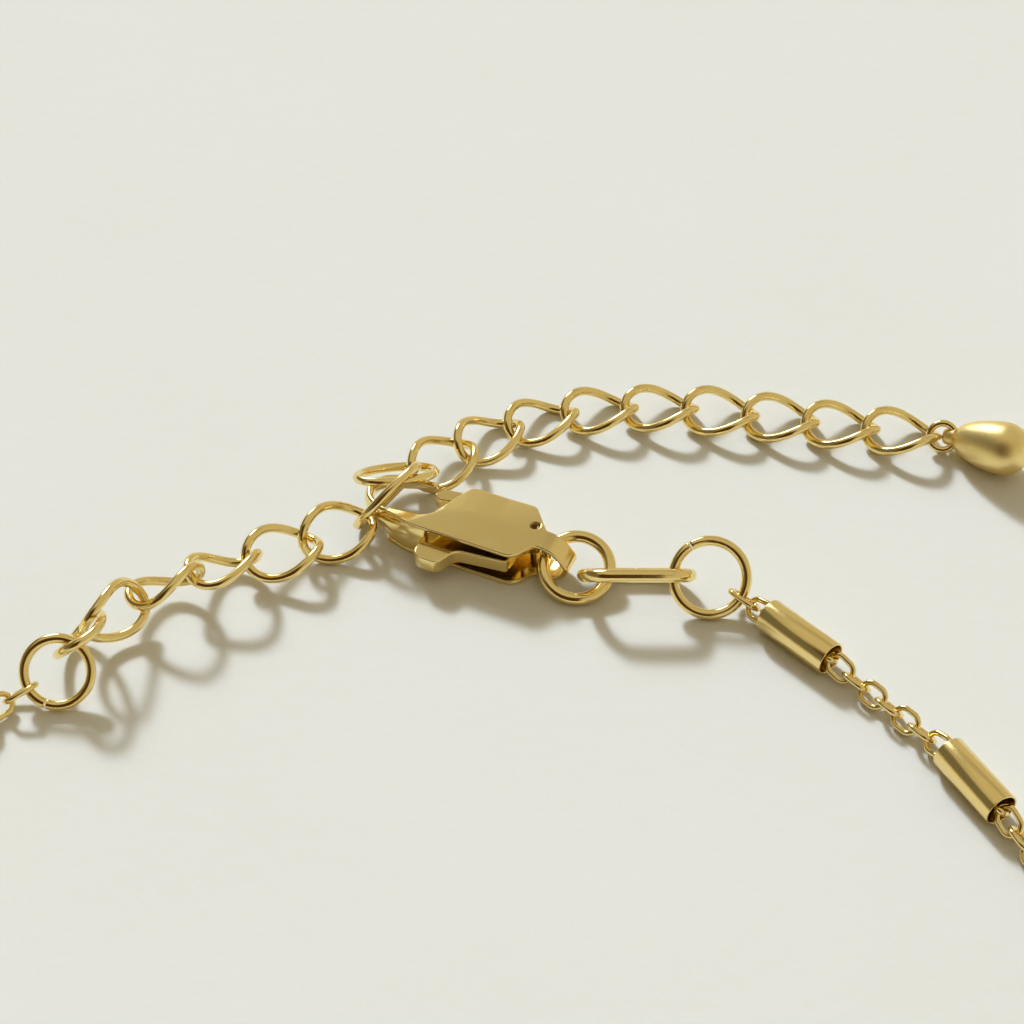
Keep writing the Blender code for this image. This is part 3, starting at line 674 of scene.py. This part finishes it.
def closed_tube(path, radius, sides):
    """A circle carried round a closed path; its first spoke points away from the path's middle."""
    tangent = np.roll(path, -1, axis=0) - np.roll(path, 1, axis=0)
    tangent /= np.linalg.norm(tangent, axis=1)[:, None]
    out = path - path.mean(axis=0)
    out -= tangent * np.sum(out * tangent, axis=1)[:, None]
    out /= np.linalg.norm(out, axis=1)[:, None]
    return circles_round(path, out, np.cross(tangent, out), radius, sides)


# thin drawn wire: the same bands, a little broken by the bending
link_gold = gold_material("gold-plated curb wire, polished",
                          roughness=0.13, wave=0.5, wave_height=0.006, grain=0.04, grain_height=0.0008,
                          mottle=0.02)
for number, (x, y, z, heading, pitch, roll, twist) in enumerate(LINK_PLACES, start=1):
    length = OPEN_LINK_LENGTH if number in OPEN_LINKS else LINK_LENGTH
    line = twisted_oval(length - LINK_WIRE, LINK_WIDTH - LINK_WIRE, twist, 96)
    rings = place_points(closed_tube(line, LINK_WIRE / 2, 20), (x, y, z), heading, pitch, roll)
    piece = build_piece(f"extender_wire_{number:02d}", rings, link_gold)
    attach(piece, "bracelet")
    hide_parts(f"extender_link_{number:02d}")


# Drop: a teardrop turned from solid brass, drilled across its tip, satin from the tumbling barrel and plated.
# A small ring of its own hangs it on the last link.
DROP_RING_SIZE = 1.56
DROP_RING_WIRE = 0.32
DROP_RING_CENTRE = (19.90, 4.20, 0.73)
DROP_RING_TURN = (-9, 0, 50)    # heading, pitch, roll
DROP_HEADING = -33.0
DROP_PITCH = 13.4
DROP_HOLE_PLACE = 0.61
DROP_PROFILE = (
    # distance from the tip, radius
    (0.00, 0.02),
    (0.00, 0.24),
    (0.14, 0.38),
    (0.60, 0.44),
    (0.86, 0.68),
    (1.20, 0.86),
    (1.60, 1.00),
    (2.20, 1.14),
    (2.85, 1.22),
    (3.40, 1.17),
    (3.90, 0.90),
    (4.14, 0.56),
    (4.22, 0.22),
    (4.22, 0.02),
)


def turned(profile, sides):
    """Spin a profile of x and radius round the x axis."""
    angle = np.linspace(0, 2 * np.pi, sides, endpoint=False)
    x, radius = profile.T
    return np.stack([np.broadcast_to(x[:, None], (len(x), sides)), radius[:, None] * np.cos(angle),
                     radius[:, None] * np.sin(angle)], axis=-1)


# barrel-tumbled satin: wide soft highlights on an even tone
drop_gold = gold_material("gold-plated brass, barrel-tumbled satin",
                          roughness=0.40, wave=1.0, wave_height=0.006, grain=0.045, grain_height=0.0035)
reach = (DROP_RING_SIZE - DROP_RING_WIRE) / 2
drop_ring_line = twisted_oval(2 * reach, 2 * reach, 0, 72)
drop_ring_tube = closed_tube(drop_ring_line, DROP_RING_WIRE / 2, 20)
drop_ring_points = place_points(drop_ring_tube, DROP_RING_CENTRE, *DROP_RING_TURN)
drop_ring_piece = build_piece("drop_ring_wire", drop_ring_points, ring_gold)
held = place_points([(reach, 0, 0)], DROP_RING_CENTRE, *DROP_RING_TURN)[0]
drop_start = place_points([(-DROP_HOLE_PLACE, 0, 0)], held, DROP_HEADING, DROP_PITCH)[0]
drop_skin = turned(smooth_path(DROP_PROFILE, 10), 72)
drop_points = place_points(drop_skin, drop_start, DROP_HEADING, DROP_PITCH, DROP_RING_TURN[2])
drop_piece = build_piece("drop_turned", drop_points, drop_gold, along=False, capped=True)
for piece, node in ((drop_ring_piece, "drop_ring"), (drop_piece, "drop")):
    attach(piece, "bracelet")
    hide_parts(node)


# Fine chain: small oval cable links of brass wire, linked at right angles, soldered and gold plated;
# one long link runs through each tube bead.
FINE_WIRE = 0.26
FINE_HOOK = 0.29
SLACK_HOOK = 0.43
FINE_SIZE = (1.50, 1.14)
END_SIZE = (1.70, 1.14)
LONG_SIZE = (4.35, 0.83)
FINE_TILT = 45.0
FINE_REST = 0.50
BEAD_LINK_REST = 0.80
RISE_RUN = 1.20
START_RISE = 0.26
END_RISE = 0.42
BEAD_COUNT = 12
LINKS_BETWEEN_BEADS = 7
LINKS_BEFORE_BEADS = 1
LINKS_AFTER_BEADS = 5
BEAD_LENGTH = 3.64
FINE_WAY = (
    # x, y
    (9.61, -5.64),
    (10.50, -6.45),
    (11.25, -7.22),
    (12.27, -8.27),
    (13.60, -9.63),
    (15.83, -12.08),
    (17.95, -14.61),
    (18.93, -16.24),
    (19.91, -17.87),
    (22.90, -25.00),
    (24.00, -34.50),
    (20.20, -44.50),
    (11.00, -51.50),
    (-1.50, -53.50),
    (-13.50, -50.00),
    (-22.20, -42.00),
    (-26.10, -32.00),
    (-26.00, -22.50),
    (-24.00, -15.90),
    (-22.30, -12.80),
    (-21.16, -11.66),
    (-20.16, -11.22),
)


def chain_rows():
    """Length and width of each link's centre line, whether a bead sits on it, and its hold on the next."""
    def row(size, beaded, hold):
        return (size[0] - FINE_WIRE, size[1] - FINE_WIRE, beaded, hold)

    rows = [row(END_SIZE, 0, SLACK_HOOK)] + [row(FINE_SIZE, 0, SLACK_HOOK)] * LINKS_BEFORE_BEADS
    for bead in range(BEAD_COUNT):
        following = LINKS_BETWEEN_BEADS if bead < BEAD_COUNT - 1 else LINKS_AFTER_BEADS
        rows += [row(LONG_SIZE, 1, FINE_HOOK)] + [row(FINE_SIZE, 0, FINE_HOOK)] * following
    return np.array(rows + [row(END_SIZE, 0, SLACK_HOOK)])


def chain_ends():
    """Both tips of every link, stepped along the way, lifted near the beads and the jump rings."""
    rows = chain_rows()
    way = smooth_path(FINE_WAY, per_span=60)
    far = np.concatenate([[0.0], np.cumsum(np.linalg.norm(np.diff(way, axis=0), axis=1))])
    total = far[-1]
    steps = rows[:-1, 0] - rows[:-1, 3]
    spare = total - rows[:, 0].sum() + rows[:-1, 3].sum()
    # the links in the photograph's view keep their own steps; the others share the length that is left
    shown = LINKS_BEFORE_BEADS + 2 * LINKS_BETWEEN_BEADS
    steps = steps + np.where(np.arange(len(steps)) > shown, spare / (len(rows) - shown - 2), 0.0)
    starts = np.concatenate([[0.0], np.cumsum(steps)])
    middles = (starts + rows[:, 0] / 2)[rows[:, 2] == 1]

    def at(distance):
        to_bead = np.min(np.abs(middles[:, None] - distance), axis=0) - BEAD_LENGTH / 2
        inside = 1.0 - np.clip(to_bead / RISE_RUN, 0.0, 1.0)
        height = FINE_REST + (BEAD_LINK_REST - FINE_REST) * inside ** 2 * (3 - 2 * inside)
        height = height + START_RISE * np.clip(1 - distance / RISE_RUN, 0, 1)
        height = height + END_RISE * np.clip(1 - (total - distance) / RISE_RUN, 0, 1)
        x, y = (np.interp(distance, far, way[:, axis]) for axis in (0, 1))
        return np.stack([x, y, height], axis=1)

    return rows, at(starts), at(starts + rows[:, 0])


def cable_links(rows, near, far, steps, sides):
    """Every link at once: two half circles and straight sides in a plane rolled 45 degrees left or right."""
    along = far - near
    length = np.linalg.norm(along, axis=1)
    along /= length[:, None]
    level = np.stack([-along[:, 1], along[:, 0], 0 * length], axis=1)
    level /= np.linalg.norm(level, axis=1)[:, None]
    roll = np.radians(FINE_TILT) * np.where(np.arange(len(rows)) % 2, 1, -1)[:, None]
    across = level * np.cos(roll) + np.cross(along, level) * np.sin(roll)
    normal = np.cross(along, across)
    turn = (np.arange(steps) + 0.5) / steps * 2 * np.pi
    bend = rows[:, 1, None] / 2
    x = np.sign(np.cos(turn)) * (length[:, None] / 2 - bend) + bend * np.cos(turn)
    y = bend * np.sin(turn)
    centre = ((near + far) / 2)[:, None] + along[:, None] * x[..., None] + across[:, None] * y[..., None]
    out = along[:, None] * np.cos(turn)[None, :, None] + across[:, None] * np.sin(turn)[None, :, None]
    angle = np.linspace(0, 2 * np.pi, sides, endpoint=False)
    return (centre[:, :, None] + FINE_WIRE / 2 * (out[:, :, None] * np.cos(angle)[:, None]
                                                  + normal[:, None, None] * np.sin(angle)[:, None]))


fine_rows, fine_near, fine_far = chain_ends()
fine_piece = build_piece("cable_chain", cable_links(fine_rows, fine_near, fine_far, 28, 10), link_gold)
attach(fine_piece, "bracelet")
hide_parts("fine_chain")


# Tube beads: short lengths of thin-walled brass tube, their cut ends tumbled round, brushed along and plated.
BEAD_DIAMETER = 1.54
BEAD_BORE = 1.36
BEAD_SLIP = 0.02
BEAD_LIP = 0.04
SCRATCH_SCALE = (5.0, 26.0, 26.0)
SCRATCH_SHIFT = (0.0, 7.3, 0.0)
SCRATCH_HEIGHT = 0.0009
SCRATCH_ROUGHNESS = (0.13, 0.22)


def brushed_material():
    """Brushed tube: fine scratches run along it, so noise is squeezed across the way the tube heads.

    They stand 0.04 mm apart, wider than real ones, so that they show as a fine lengthwise grain.
    """
    material, tree, shader = new_material("gold-plated brass tube, brushed lengthwise")
    lengthwise = add_node(tree, "ShaderNodeAttribute", {"attribute_name": "tube_place"}).outputs["Vector"]
    scratch = add_node(tree, "ShaderNodeTexNoise", None,
                       {"Vector": lengthwise, "Scale": 1.0, "Detail": 3.0, "Roughness": 0.6}).outputs["Fac"]
    bump = add_node(tree, "ShaderNodeBump", None, {"Height": scratch, "Distance": SCRATCH_HEIGHT * MM})
    plate_with_gold(tree, shader, scratch, scratch, SCRATCH_ROUGHNESS, bump)
    return material


def tube_section():
    """The wall's section: outer and inner straight lines joined by a half-round lip at each mouth."""
    lip = np.radians(np.linspace(90, -90, 7))
    wall = (BEAD_DIAMETER - BEAD_BORE) / 2
    middle = (BEAD_DIAMETER + BEAD_BORE) / 4
    reach = BEAD_LENGTH / 2 - BEAD_LIP + BEAD_LIP * np.cos(lip)
    right = np.stack([reach, middle + wall / 2 * np.sin(lip)], axis=1)
    left = np.stack([-right[::-1, 0], right[::-1, 1]], axis=1)
    return np.vstack([right, left])


tube_gold = brushed_material()
skin = turned(tube_section(), 64)
bead_rows = np.flatnonzero(fine_rows[:, 2])
for number, row in enumerate(bead_rows, start=1):
    along = fine_far[row] - fine_near[row]
    centre = (fine_far[row] + fine_near[row]) / 2 + along / np.linalg.norm(along) * BEAD_SLIP
    centre[2] = BEAD_DIAMETER / 2
    heading = math.degrees(math.atan2(along[1], along[0]))
    piece = build_piece(f"tube_{number:02d}", place_points(skin, centre, heading), tube_gold)
    place = piece.data.attributes.new("tube_place", "FLOAT_VECTOR", "POINT")
    stretched = skin.reshape(-1, 3) * SCRATCH_SCALE + np.multiply(number, SCRATCH_SHIFT)
    place.data.foreach_set("vector", stretched.ravel())
    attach(piece, "bracelet")
    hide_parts(f"tube_bead_{number:02d}")
